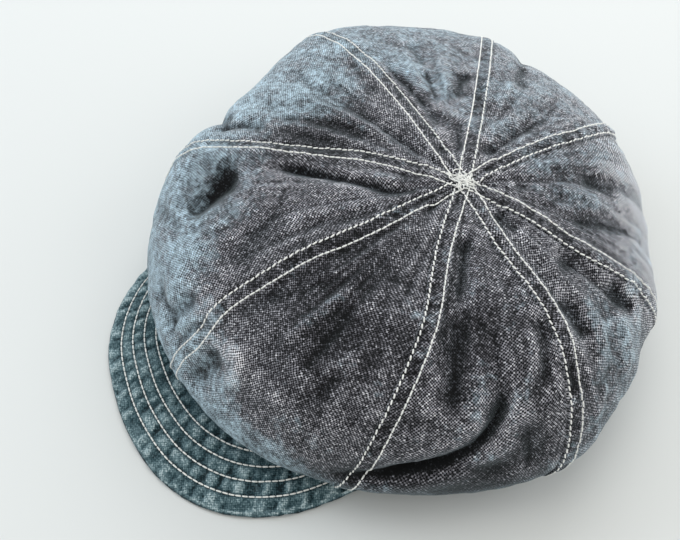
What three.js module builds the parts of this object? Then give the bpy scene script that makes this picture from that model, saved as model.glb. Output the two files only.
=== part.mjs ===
// A soft eight-panel work cap with a full, floppy crown and a stitched crescent peak.
// Millimetres, +Z up. The peak points to -Y and the cap stands on its headband and the edge of its peak.
import * as THREE from "three";

// Cloth
const CLOTH = 1.6; // crown wall: face cloth with its seam allowances
const GAP = 0.3; // clearance between neighbouring pieces
const SEAM_GAP = 0.4; // clearance between neighbouring panels
const SEAM_RAISE = 0.8; // how far a felled seam stands above the cloth
const SEAM_HALF = 4.0; // half the width of a felled seam
const SEAM_EASE = 1.4; // where the cloth is level again beside a seam, in half widths
const SEAM_CROWDING = 0.24; // near the apex a seam's half width is this share of a section's width
const SEAM_STEP = 0.1; // how far to either side of a seam its width is measured, in sections
const SURFACE_STEP = 0.02; // how far to either side a surface's slope is measured, in sections and levels

// Headband, an oval 58 cm round
const BAND = { halfWidth: 88, halfLength: 96, height: 32, wall: 2, sides: 48 };
const LAP = { clear: 2.3, drop: 7, sag: 2 }; // the crown's lower edge laps over the top of the band

// Crown: its apex, and one section for each seam and each panel middle, counterclockwise from the left.
// near, mid and far are the section's directions from the apex in degrees at 30, 60 and 100 % of its reach.
// reach is the distance from the apex to the rim, high, shoulder and rim are heights there.
const APEX = { x: 35, y: 44, z: 94 };
const STATIONS = { near: 0.3, mid: 0.6, shoulder: 0.88 };
const SHOULDER_MIX = 0.35; // share of the mid direction in the shoulder's direction
const CREST = 0.2; // share of the fall from apex to mid height that the near point has
const UNDER = { inward: 0.3, fall: 18, seatInward: 0.9 }; // how the cloth turns under the rim
const SECTIONS = [
  { at: "seam", near: 204, mid: 208, far: 209, reach: 173.5, high: 89, shoulder: 76, rim: 44 },
  { at: "panel", near: 228, mid: 229, far: 230, reach: 172.5, high: 88, shoulder: 71, rim: 38 },
  { at: "seam", near: 256, mid: 253, far: 253, reach: 168, high: 89, shoulder: 70, rim: 36 },
  { at: "panel", near: 277, mid: 276, far: 275, reach: 161, high: 88, shoulder: 68, rim: 34 },
  { at: "seam", near: 299, mid: 301, far: 293, reach: 149.5, high: 88, shoulder: 69, rim: 32 },
  { at: "panel", near: 318, mid: 318, far: 318, reach: 140.5, high: 88, shoulder: 68, rim: 30 },
  { at: "seam", near: 338, mid: 341, far: 336, reach: 137, high: 88, shoulder: 70, rim: 34 },
  { at: "panel", near: 358, mid: 358, far: 356, reach: 122, high: 86, shoulder: 68, rim: 36 },
  { at: "seam", near: 374, mid: 373, far: 380, reach: 113.5, high: 86, shoulder: 68, rim: 40 },
  { at: "panel", near: 406, mid: 406, far: 407, reach: 108.5, high: 86, shoulder: 68, rim: 44 },
  { at: "seam", near: 440, mid: 440, far: 445, reach: 125.5, high: 87, shoulder: 72, rim: 46 },
  { at: "panel", near: 464, mid: 464, far: 465, reach: 142, high: 86, shoulder: 71, rim: 46 },
  { at: "seam", near: 483, mid: 484, far: 485, reach: 163.5, high: 87, shoulder: 73, rim: 46 },
  { at: "panel", near: 502, mid: 502, far: 503, reach: 173, high: 87, shoulder: 74, rim: 48 },
  { at: "seam", near: 520, mid: 521, far: 523, reach: 185, high: 88, shoulder: 75, rim: 48 },
  { at: "panel", near: 543, mid: 543, far: 544, reach: 166, high: 88, shoulder: 76, rim: 48 },
];
const TURN = 360;
const BAND_START = 202.5; // direction from the band's centre where the first section joins it

// Folds and dents. A fold runs through three places, each a section number and a level down the cloth
// (0 the apex, 4 the rim). It is depth deep (a ridge where negative) and width wide, with a lip beside it.
const FOLDS = [
  { from: [0.4, 2.3], by: [0.72, 2.65], to: [1.05, 3.05], depth: 11, width: 13, lip: 0 },
  { from: [0.5, 2.2], by: [0.62, 1.4], to: [1.5, 0.4], depth: 3, width: 7, lip: 1 },
  { from: [15.5, 2.4], by: [15.33, 1.7], to: [14.96, 0.55], depth: -3, width: 7, lip: 0 },
  { from: [15.9, 3.1], by: [15.75, 2.65], to: [15.7, 2.15], depth: 5, width: 9, lip: 0 },
  { from: [1.7, 3.8], by: [1.75, 3.3], to: [1.82, 2.85], depth: 5, width: 10, lip: 0 },
  { from: [2.15, 3.95], by: [2.3, 3.45], to: [2.32, 3.0], depth: 6, width: 10, lip: 0 },
  { from: [2.75, 2.75], by: [2.83, 2.15], to: [2.95, 1.7], depth: -2, width: 9, lip: 0 },
  { from: [3.04, 2.75], by: [3.12, 2.3], to: [3.21, 1.9], depth: 2, width: 10, lip: 0 },
  { from: [5.1, 2.4], by: [4.83, 3.15], to: [3.85, 3.6], depth: 9, width: 12, lip: 3 },
  { from: [4.92, 0.75], by: [4.72, 1.5], to: [4.83, 2.9], depth: 4, width: 8, lip: 0 },
  { from: [5.79, 1.95], by: [5.75, 2.4], to: [5.58, 2.9], depth: 2.5, width: 8, lip: 0 },
  { from: [6.75, 0.55], by: [6.83, 0.85], to: [6.96, 1.15], depth: 2.5, width: 6, lip: 0 },
  { from: [7.33, 1.65], by: [7.46, 2.35], to: [7.6, 3.2], depth: 6, width: 10, lip: 2 },
  { from: [6.42, 1.95], by: [6.54, 2.35], to: [6.46, 2.65], depth: 3, width: 8, lip: 0 },
  { from: [7.38, 2.7], by: [7.21, 3.1], to: [6.96, 3.6], depth: -3, width: 8, lip: 0 },
  { from: [7.65, 3.2], by: [7.6, 3.7], to: [7.5, 4.3], depth: 2, width: 10, lip: 0 },
  { from: [9.3, 1.9], by: [9.17, 2.3], to: [9.08, 2.7], depth: 3, width: 12, lip: 0 },
  { from: [8.4, 1.7], by: [8.58, 2.2], to: [8.62, 3.0], depth: 3.5, width: 10, lip: 0 },
  { from: [11.0, 0.5], by: [10.71, 1.05], to: [10.58, 2.1], depth: 4, width: 7, lip: 1.5 },
  { from: [11.42, 3.0], by: [11.35, 2.4], to: [11.3, 2.0], depth: 3, width: 9, lip: 0 },
  { from: [13.9, 2.05], by: [13.58, 1.35], to: [13.17, 0.7], depth: 3, width: 7, lip: 0 },
  { from: [12.79, 2.3], by: [12.71, 1.7], to: [12.67, 1.3], depth: -3, width: 7, lip: 0 },
];
const FOLD_STEPS = 8; // pieces of a fold's line that distances are measured to
const FOLD_FADE = 0.3; // share of a fold's length over which each end fades out
const LIP_OFFSET = 1.5; // distance of a lip from its fold, in widths

// Mesh of a panel
const PANEL_COLUMNS = 12;
const LEVELS = { apex: 0.08, flat: 0.2, raised: 0.8, rim: 4, under: 5, hem: 7, aboveRim: 15, belowRim: 6 };
const TACK = { radius: 7, thick: 1.4, dome: 0.8, shoulder: 3.5, shoulderFall: 0.2, sides: 16 };

// Peak: a crescent with a valley along each stitched row. edge is how far it reaches from the band's centre,
// at every edgeTurn degrees from one end to the other. It has worn a little askew, and its rows lie further
// apart, by the share rowSpread, once past the directions rowSpreadFrom to rowSpreadTo.
const PEAK = {
  from: 192,
  to: 348,
  edgeTurn: 12,
  edge: [96, 112, 126, 137.5, 145, 148.5, 152.5, 155.5, 153, 143, 128.5, 115, 103.5, 94],
  thick: 3.4,
  rimFall: 0.85,
  rimWidth: 2,
  lift: 6,
  bow: 2.5,
  rows: 6,
  firstRow: 8,
  rowPitch: 6.7,
  rowSpread: 0.22,
  rowSpreadFrom: 235,
  rowSpreadTo: 290,
  rowRoom: 0.9,
  valley: 0.5,
  steps: 28,
};

const CHAMBRAY = { color: 0x5a6672, roughness: 0.92, metalness: 0 };
const PEAK_CLOTH = { color: 0x3e5863, roughness: 0.92, metalness: 0 };
const COTTON_THREAD = { color: 0xe9e5da, roughness: 0.8, metalness: 0 };

const radians = (degrees) => (degrees * Math.PI) / 180;
const clamp = (value, low, high) => Math.min(high, Math.max(low, value));

// Smooth curve value between b and c, with a and d the values beyond them.
function spline(a, b, c, d, f) {
  const linear = c - a;
  const square = 2 * a - 5 * b + 4 * c - d;
  const cube = 3 * b - 3 * c + d - a;
  return b + 0.5 * f * (linear + f * (square + f * cube));
}

// A column of SECTIONS at a place between two sections, going round without a break.
function around(column, place) {
  const turning = column === "near" || column === "mid" || column === "far";
  const start = Math.floor(place);
  const value = (step) => {
    const index = start + step;
    const turns = Math.floor(index / SECTIONS.length);
    const row = SECTIONS[index - turns * SECTIONS.length];
    return row[column] + (turning ? turns * TURN : 0);
  };
  return spline(value(-1), value(0), value(1), value(2), place - start);
}

// Point of the band's outer face, grown by clear, in a direction from its centre.
function bandPoint(degrees, clear, z) {
  const angle = radians(degrees);
  const x = (BAND.halfWidth + clear) * Math.cos(angle);
  const y = (BAND.halfLength + clear) * Math.sin(angle);
  return new THREE.Vector3(x, y, z);
}

// The eight points, apex to hem, that a section's curve runs through.
function sectionPoints(place) {
  const reach = around("reach", place);
  const high = around("high", place);
  const near = around("near", place);
  const mid = around("mid", place);
  const far = around("far", place);
  const rimHeight = around("rim", place);
  const polar = (share, degrees, z) => {
    const x = APEX.x + reach * share * Math.cos(radians(degrees));
    const y = APEX.y + reach * share * Math.sin(radians(degrees));
    return new THREE.Vector3(x, y, z);
  };
  const rim = polar(1, far, rimHeight);
  const hem = bandPoint(BAND_START + (place * TURN) / SECTIONS.length, LAP.clear, BAND.height - LAP.drop);
  const between = (share, z) => rim.clone().lerp(hem, share).setZ(z);
  return [
    polar(0, 0, APEX.z),
    polar(STATIONS.near, near, APEX.z + (high - APEX.z) * CREST),
    polar(STATIONS.mid, mid, high),
    polar(STATIONS.shoulder, far + (mid - far) * SHOULDER_MIX, around("shoulder", place)),
    rim,
    between(UNDER.inward, rimHeight - UNDER.fall),
    between(UNDER.seatInward, BAND.height - LAP.sag),
    hem,
  ];
}

// The crown's smooth form before its folds.
function smoothPoint(place, level) {
  const points = sectionPoints(place);
  const start = clamp(Math.floor(level), 0, points.length - 2);
  const before = points[start - 1] ?? points[0].clone().multiplyScalar(2).sub(points[1]);
  const after = points[start + 2] ?? points[start + 1].clone().multiplyScalar(2).sub(points[start]);
  const axis = (name) =>
    spline(before[name], points[start][name], points[start + 1][name], after[name], level - start);
  return new THREE.Vector3(axis("x"), axis("y"), axis("z"));
}

// The outward normal of a surface given as a function of place and level.
function normalOf(surface, place, level) {
  const along = surface(place, level + SURFACE_STEP).sub(surface(place, level - SURFACE_STEP));
  const across = surface(place + SURFACE_STEP, level).sub(surface(place - SURFACE_STEP, level));
  return along.cross(across).normalize();
}

// A fold's line on the smooth form, as a list of points.
function foldLine({ from, by, to }) {
  const points = [];
  for (let step = 0; step <= FOLD_STEPS; step += 1) {
    const f = step / FOLD_STEPS;
    const weights = [(1 - f) * (1 - 2 * f), 4 * f * (1 - f), f * (2 * f - 1)];
    const place = from[0] * weights[0] + by[0] * weights[1] + to[0] * weights[2];
    const level = from[1] * weights[0] + by[1] * weights[1] + to[1] * weights[2];
    points.push(smoothPoint(place, level));
  }
  return points;
}
const foldLines = FOLDS.map(foldLine);

// How far a fold moves a point of the smooth form along the normal there.
function foldHeight(fold, line, point, normal) {
  let nearest = Infinity;
  let share = 0;
  let side = 0;
  for (let step = 0; step < FOLD_STEPS; step += 1) {
    const run = line[step + 1].clone().sub(line[step]);
    const away = point.clone().sub(line[step]);
    const f = clamp(away.dot(run) / run.lengthSq(), 0, 1);
    away.addScaledVector(run, -f);
    if (away.length() < nearest) {
      nearest = away.length();
      share = (step + f) / FOLD_STEPS;
      side = Math.sign(run.cross(away).dot(normal));
    }
  }
  const fade = THREE.MathUtils.smoothstep(Math.min(share, 1 - share), 0, FOLD_FADE);
  const valley = Math.exp(-((nearest / fold.width) ** 2));
  const lip = Math.exp(-(((side * nearest) / fold.width - LIP_OFFSET) ** 2));
  return fade * (fold.lip * lip - fold.depth * valley);
}

// The crown's cloth with its folds.
function foldedPoint(place, level) {
  const point = smoothPoint(place, level);
  const normal = normalOf(smoothPoint, place, level);
  const heights = FOLDS.map((fold, index) => foldHeight(fold, foldLines[index], point, normal));
  const shift = heights.reduce((sum, height) => sum + height, 0);
  return point.clone().addScaledVector(normal, shift);
}

// A closed solid between two grids of points with the same rows and columns.
function shell(outer, inner) {
  const rows = outer.length;
  const columns = outer[0].length;
  const positions = [];
  const indices = [];
  for (const grid of [outer, inner]) {
    for (const row of grid) {
      for (const point of row) {
        positions.push(point.x, point.y, point.z);
      }
    }
  }
  const at = (layer, row, column) => layer * rows * columns + row * columns + column;
  const quad = (a, b, c, d) => indices.push(a, b, c, a, c, d);
  for (let row = 0; row + 1 < rows; row += 1) {
    for (let column = 0; column + 1 < columns; column += 1) {
      quad(at(0, row, column), at(0, row + 1, column), at(0, row + 1, column + 1), at(0, row, column + 1));
      quad(at(1, row, column), at(1, row, column + 1), at(1, row + 1, column + 1), at(1, row + 1, column));
    }
    const last = columns - 1;
    quad(at(0, row, 0), at(1, row, 0), at(1, row + 1, 0), at(0, row + 1, 0));
    quad(at(0, row, last), at(0, row + 1, last), at(1, row + 1, last), at(1, row, last));
  }
  for (let column = 0; column + 1 < columns; column += 1) {
    const last = rows - 1;
    quad(at(0, 0, column), at(0, 0, column + 1), at(1, 0, column + 1), at(1, 0, column));
    quad(at(0, last, column), at(1, last, column), at(1, last, column + 1), at(0, last, column + 1));
  }
  const geometry = new THREE.BufferGeometry();
  geometry.setAttribute("position", new THREE.Float32BufferAttribute(positions, 3));
  geometry.setIndex(indices);
  geometry.computeVertexNormals();
  return geometry;
}

// Levels of a panel's rows, closer where the cloth turns at the rim.
function panelLevels() {
  const levels = [];
  for (let step = 0; step <= LEVELS.aboveRim; step += 1) {
    levels.push(THREE.MathUtils.lerp(LEVELS.apex, LEVELS.rim, step / LEVELS.aboveRim));
  }
  for (let step = 1; step <= LEVELS.belowRim; step += 1) {
    levels.push(THREE.MathUtils.lerp(LEVELS.rim, LEVELS.hem, step / LEVELS.belowRim));
  }
  return levels;
}

// A seam at one level: how many sections a millimetre across it is, and half its felled width.
function seamAt(seam, level) {
  const across = smoothPoint(seam + SEAM_STEP, level).distanceTo(smoothPoint(seam - SEAM_STEP, level));
  const perMillimetre = (2 * SEAM_STEP) / across;
  return { perMillimetre, half: Math.min(SEAM_HALF, SEAM_CROWDING / perMillimetre) };
}

// One gore of the crown: from the step of its own felled seam to the step of the next one.
function crownPanel(seam) {
  const outer = [];
  const inner = [];
  for (const level of panelLevels()) {
    const own = seamAt(seam, level);
    const next = seamAt(seam + 2, level);
    const rise = THREE.MathUtils.smoothstep(level, LEVELS.flat, LEVELS.raised);
    const raise = SEAM_RAISE * rise * (1 - THREE.MathUtils.smoothstep(level, LEVELS.rim, LEVELS.under));
    const start = seam - (own.half - SEAM_GAP / 2) * own.perMillimetre;
    const inside = seam + own.half * own.perMillimetre;
    const eased = seam + own.half * SEAM_EASE * own.perMillimetre;
    const end = seam + 2 - (next.half + SEAM_GAP / 2) * next.perMillimetre;
    const outerRow = [];
    const innerRow = [];
    for (let column = 0; column <= PANEL_COLUMNS; column += 1) {
      const onSeam = column < 2;
      const open = THREE.MathUtils.lerp(eased, end, (column - 2) / (PANEL_COLUMNS - 2));
      const place = onSeam ? [start, inside][column] : open;
      const point = foldedPoint(place, level);
      const normal = normalOf(foldedPoint, place, level);
      outerRow.push(point.clone().addScaledVector(normal, onSeam ? raise : 0));
      innerRow.push(point.clone().addScaledVector(normal, -CLOTH));
    }
    outer.push(outerRow);
    inner.push(innerRow);
  }
  return shell(outer, inner);
}

// The pad of bar-tack stitches over the eight points.
function crownTack() {
  const profile = [
    new THREE.Vector2(0, 0),
    new THREE.Vector2(TACK.radius, 0),
    new THREE.Vector2(TACK.radius, TACK.thick - TACK.dome),
    new THREE.Vector2(TACK.shoulder, TACK.thick - TACK.shoulderFall),
    new THREE.Vector2(0, TACK.thick),
  ];
  const geometry = new THREE.LatheGeometry(profile, TACK.sides);
  geometry.rotateX(Math.PI / 2);
  geometry.translate(APEX.x, APEX.y, APEX.z + GAP);
  return geometry;
}

// The oval headband, standing on the table.
function headband() {
  const oval = (inset) => {
    const points = [];
    for (let step = 0; step < BAND.sides; step += 1) {
      const point = bandPoint((step * TURN) / BAND.sides, -inset, 0);
      points.push(new THREE.Vector2(point.x, point.y));
    }
    return points;
  };
  const outline = new THREE.Shape(oval(0));
  outline.holes.push(new THREE.Path(oval(BAND.wall)));
  return new THREE.ExtrudeGeometry(outline, { depth: BAND.height, bevelEnabled: false });
}

// The peak in one direction: how far the band and the peak's edge reach, and how far apart its rows lie.
function peakAt(degrees) {
  const x = Math.cos(radians(degrees)) / (BAND.halfWidth + GAP);
  const y = Math.sin(radians(degrees)) / (BAND.halfLength + GAP);
  const place = (degrees - PEAK.from) / PEAK.edgeTurn;
  const start = clamp(Math.floor(place), 0, PEAK.edge.length - 2);
  const value = (step) => PEAK.edge[clamp(start + step, 0, PEAK.edge.length - 1)];
  const edge = spline(value(-1), value(0), value(1), value(2), place - start);
  const spread = THREE.MathUtils.smoothstep(degrees, PEAK.rowSpreadFrom, PEAK.rowSpreadTo);
  return { band: 1 / Math.hypot(x, y), edge, spacing: 1 + PEAK.rowSpread * spread };
}

// The crescent peak: highest where it meets the band, its edge on the table.
function peak() {
  const outer = [];
  const inner = [];
  const rowPlaces = [0, PEAK.rimWidth];
  for (let row = 0; row < PEAK.rows; row += 1) {
    rowPlaces.push(PEAK.firstRow + row * PEAK.rowPitch);
    rowPlaces.push(PEAK.firstRow + (row + 0.5) * PEAK.rowPitch);
  }
  const deepest = rowPlaces[rowPlaces.length - 1];
  for (let step = 0; step <= PEAK.steps; step += 1) {
    const degrees = THREE.MathUtils.lerp(PEAK.from, PEAK.to, step / PEAK.steps);
    const { band, edge, spacing } = peakAt(degrees);
    const direction = new THREE.Vector3(Math.cos(radians(degrees)), Math.sin(radians(degrees)), 0);
    const depth = edge - band;
    const upper = [];
    const lower = [];
    const places = rowPlaces.map((place) => place * Math.min(spacing, (depth * PEAK.rowRoom) / deepest));
    places.push(depth);
    places.forEach((place, index) => {
      const share = place / depth;
      const point = direction.clone().multiplyScalar(edge - place);
      const base = PEAK.lift * share + PEAK.bow * Math.sin(Math.PI * share);
      const stitched = index >= 2 && index % 2 === 0 && index < places.length - 1;
      const fall = index === 0 ? PEAK.rimFall : 0;
      upper.push(point.clone().setZ(base + PEAK.thick - fall - (stitched ? PEAK.valley : 0)));
      lower.push(point.clone().setZ(base));
    });
    outer.push(upper);
    inner.push(lower);
  }
  return shell(outer, inner);
}

const cap = new THREE.Group();

function addPiece(name, geometry, finish) {
  const mesh = new THREE.Mesh(geometry, new THREE.MeshStandardMaterial(finish));
  mesh.name = name;
  cap.add(mesh);
}

for (let panel = 0; panel < SECTIONS.length / 2; panel += 1) {
  addPiece(`crown_panel_${panel + 1}`, crownPanel(panel * 2), CHAMBRAY);
}
addPiece("crown_tack", crownTack(), COTTON_THREAD);
addPiece("headband", headband(), CHAMBRAY);
addPiece("peak", peak(), PEAK_CLOTH);

// The frame's origin is the middle of the underside.
const box = new THREE.Box3().setFromObject(cap);
const middle = box.getCenter(new THREE.Vector3());
for (const mesh of cap.children) {
  mesh.position.set(-middle.x, -middle.y, -box.min.z);
}

export default cap;
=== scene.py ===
import math

import bmesh
import bpy
import numpy as np
from mathutils import Matrix, Vector


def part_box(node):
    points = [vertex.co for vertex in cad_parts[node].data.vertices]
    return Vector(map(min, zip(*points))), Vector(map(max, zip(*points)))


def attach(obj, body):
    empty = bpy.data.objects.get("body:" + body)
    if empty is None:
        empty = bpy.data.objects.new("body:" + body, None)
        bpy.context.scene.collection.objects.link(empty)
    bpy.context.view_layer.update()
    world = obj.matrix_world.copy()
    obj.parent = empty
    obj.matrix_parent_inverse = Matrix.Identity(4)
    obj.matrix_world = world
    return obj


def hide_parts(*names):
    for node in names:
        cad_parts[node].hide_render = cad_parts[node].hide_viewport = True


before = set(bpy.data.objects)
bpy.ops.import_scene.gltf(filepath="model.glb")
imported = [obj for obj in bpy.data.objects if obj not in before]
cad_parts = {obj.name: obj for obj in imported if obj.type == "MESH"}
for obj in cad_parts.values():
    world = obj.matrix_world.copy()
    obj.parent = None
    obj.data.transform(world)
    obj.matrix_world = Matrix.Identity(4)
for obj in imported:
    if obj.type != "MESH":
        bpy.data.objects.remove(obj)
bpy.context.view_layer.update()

MM = 0.001
band_low, band_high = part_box("headband")
CENTRE = np.array([(band_low.x + band_high.x) / 2, (band_low.y + band_high.y) / 2, 0.0])

# Cloth and seams
WALL = 1.2  # thickness of the crown's cloth
SEAM_HALF = 4.0  # half the width of a felled seam, to which it narrows where the seams crowd at the top
SEAM_CROWDING = 0.48  # share of a section's width that half a seam may take
STEP_EDGE = -4.5  # the folded edge of the felled seam
TUCKED_EDGE = -3.3  # the next panel's edge, under the folded one
ROWS = (-3.3, 3.5)  # the two rows of stitches, from the seam's line
SEAM_RAISE = 0.75  # how far the felled cloth stands above a single one
SEAM_EDGE = (0.4, 2.6)  # beyond the outer row of stitches the felled cloth thins out from here to here
SEAM_TOP = (0.15, 0.5)  # levels between which a seam comes up out of the tack
OWN_SIDE = 8.0  # within this distance of its line a seam's rows draw the cloth in
TUCK = (0.5, -6.5, -4.5)  # how far, and between where, a panel's edge dips under the next panel
ROW_GROOVE = (0.4, 0.75)  # depth and width of the groove that a row of stitches presses in

# Headband and how the crown's lower edge laps over it
BAND = {"half_width": 88.0, "half_length": 96.0, "height": 32.0, "wall": 2.0}
LAP_CLEAR = 2.3  # gap between the hem and the band
LAP_DROP = 7.0  # how far the hem hangs below the band's upper edge
LAP_SAG = 2.0  # how far the cloth just outside the band lies below that edge
BAND_START = 202.5  # direction in which the first seam meets the band, in degrees

# The crown's form: seams are even sections and panel middles odd ones, counterclockwise
APEX = (35.0, 44.0, 94.0)
STATIONS = (0.3, 0.6, 0.88)  # shares of a section's reach at which its first three points lie
SHOULDER_MIX = 0.35  # how far the shoulder keeps to the direction of the point before it
CREST = 0.2  # share of the fall from the apex that is reached at the first point
UNDER_IN = 0.3  # how far in under the rim, towards the hem, the cloth hangs lowest
UNDER_FALL = 18.0  # how far below the rim it hangs there
SEAT_IN = 0.9  # share of the way from rim to hem at which it comes to rest on the band
COLUMNS = ("near", "mid", "far", "reach", "high", "shoulder", "rim")
SECTIONS = np.array([
    (204, 208, 209, 173.5, 89, 76, 44),
    (228, 229, 230, 172.5, 88, 71, 38),
    (256, 253, 253, 168, 89, 70, 36),
    (277, 276, 275, 161, 88, 68, 34),
    (299, 301, 293, 149.5, 88, 69, 32),
    (318, 318, 318, 140.5, 88, 68, 30),
    (338, 341, 336, 137, 88, 70, 34),
    (358, 358, 356, 122, 86, 68, 36),
    (374, 373, 380, 113.5, 86, 68, 40),
    (406, 406, 407, 108.5, 86, 68, 44),
    (440, 440, 445, 125.5, 87, 72, 46),
    (464, 464, 465, 142, 86, 71, 46),
    (483, 484, 485, 163.5, 87, 73, 46),
    (502, 502, 503, 173, 87, 74, 48),
    (520, 521, 523, 185, 88, 75, 48),
    (543, 543, 544, 166, 88, 76, 48),
], float)
# How far each section's cloth is paled towards its rim, partly by fading and partly as painted sheen where
# light grazes the rim, the level that this starts at, and the level from which painted shade under the rim
# tinges it teal
FADING_SHEEN_AND_SHADE = np.array([
    (1.0, 1.9, 3.9),
    (1.0, 1.9, 3.9),
    (1.0, 2.6, 3.8),
    (0.9, 3.1, 3.6),
    (0.15, 3.4, 3.9),
    (0.0, 3.2, 3.8),
    (0.3, 2.8, 3.8),
    (0.55, 1.9, 3.8),
    (0.25, 2.2, 3.9),
    (0.30, 0.3, 3.9),
    (0.35, 0.3, 3.9),
    (0.50, 0.2, 3.9),
    (0.45, 0.4, 3.9),
    (0.60, 0.6, 3.9),
    (0.80, 1.5, 3.9),
    (1.0, 1.3, 3.9),
])
FADE_AND_SHEEN_ROOM = 0.9  # levels over which the fading and the painted sheen come up to their strength
# levels over which the painted teal shade under the rim comes up
TEAL_SHADE_ROOM = 0.5
TURNING = ("near", "mid", "far")
LAST_LEVEL = 7

# Where seams stray: section, level, how far round and down the cloth is drawn aside, and by how many
# sections
WANDERS = [
    (0.0, 1.8, 0.9, 1.6, 0.075),
    (2.0, 1.7, 0.8, 1.2, 0.10),
    (2.0, 3.2, 0.6, 0.35, 0.09),
    (4.0, 2.9, 0.8, 0.7, 0.09),
    (6.0, 2.4, 0.8, 0.7, 0.05),
    (6.0, 4.0, 0.8, 0.6, -0.10),
    (8.0, 1.8, 0.8, 0.9, -0.05),
    (10.0, 3.0, 0.8, 1.2, -0.08),
    (14.0, 3.6, 0.8, 0.9, 0.10),
]

# Painted light and shade, with some unevenness of the wash: patches of the crown made lighter where light
# falls and darker where shade falls. The middle of each patch (section, level), how far round and down it
# reaches, and by how much it changes the cloth
LIGHT_AND_SHADE_PATCHES = [
    (8.8, 3.6, 1.7, 1.1, 0.38),
    (11.5, 3.1, 2.6, 1.0, 0.09),
    (15.3, 3.2, 1.2, 0.8, 0.09),
    (4.6, 3.9, 0.9, 0.5, -0.36),
    (4.8, 2.1, 0.8, 0.9, -0.20),
    (2.6, 1.7, 0.9, 0.7, -0.22),
    (3.1, 2.5, 0.6, 0.5, -0.18),
    (2.5, 3.05, 0.4, 0.35, 0.14),
    (9.2, 1.8, 0.8, 0.6, -0.12),
    (6.7, 3.3, 1.1, 0.7, -0.09),
    (15.5, 1.7, 0.8, 0.6, -0.26),
    (0.7, 2.6, 0.5, 0.4, -0.30),
    (1.2, 3.0, 0.6, 0.4, 0.08),
    (1.8, 0.5, 1.3, 0.6, -0.13),
    (6.5, 1.9, 1.0, 0.8, 0.04),
    (7.6, 2.4, 1.3, 1.4, -0.10),
]

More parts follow.
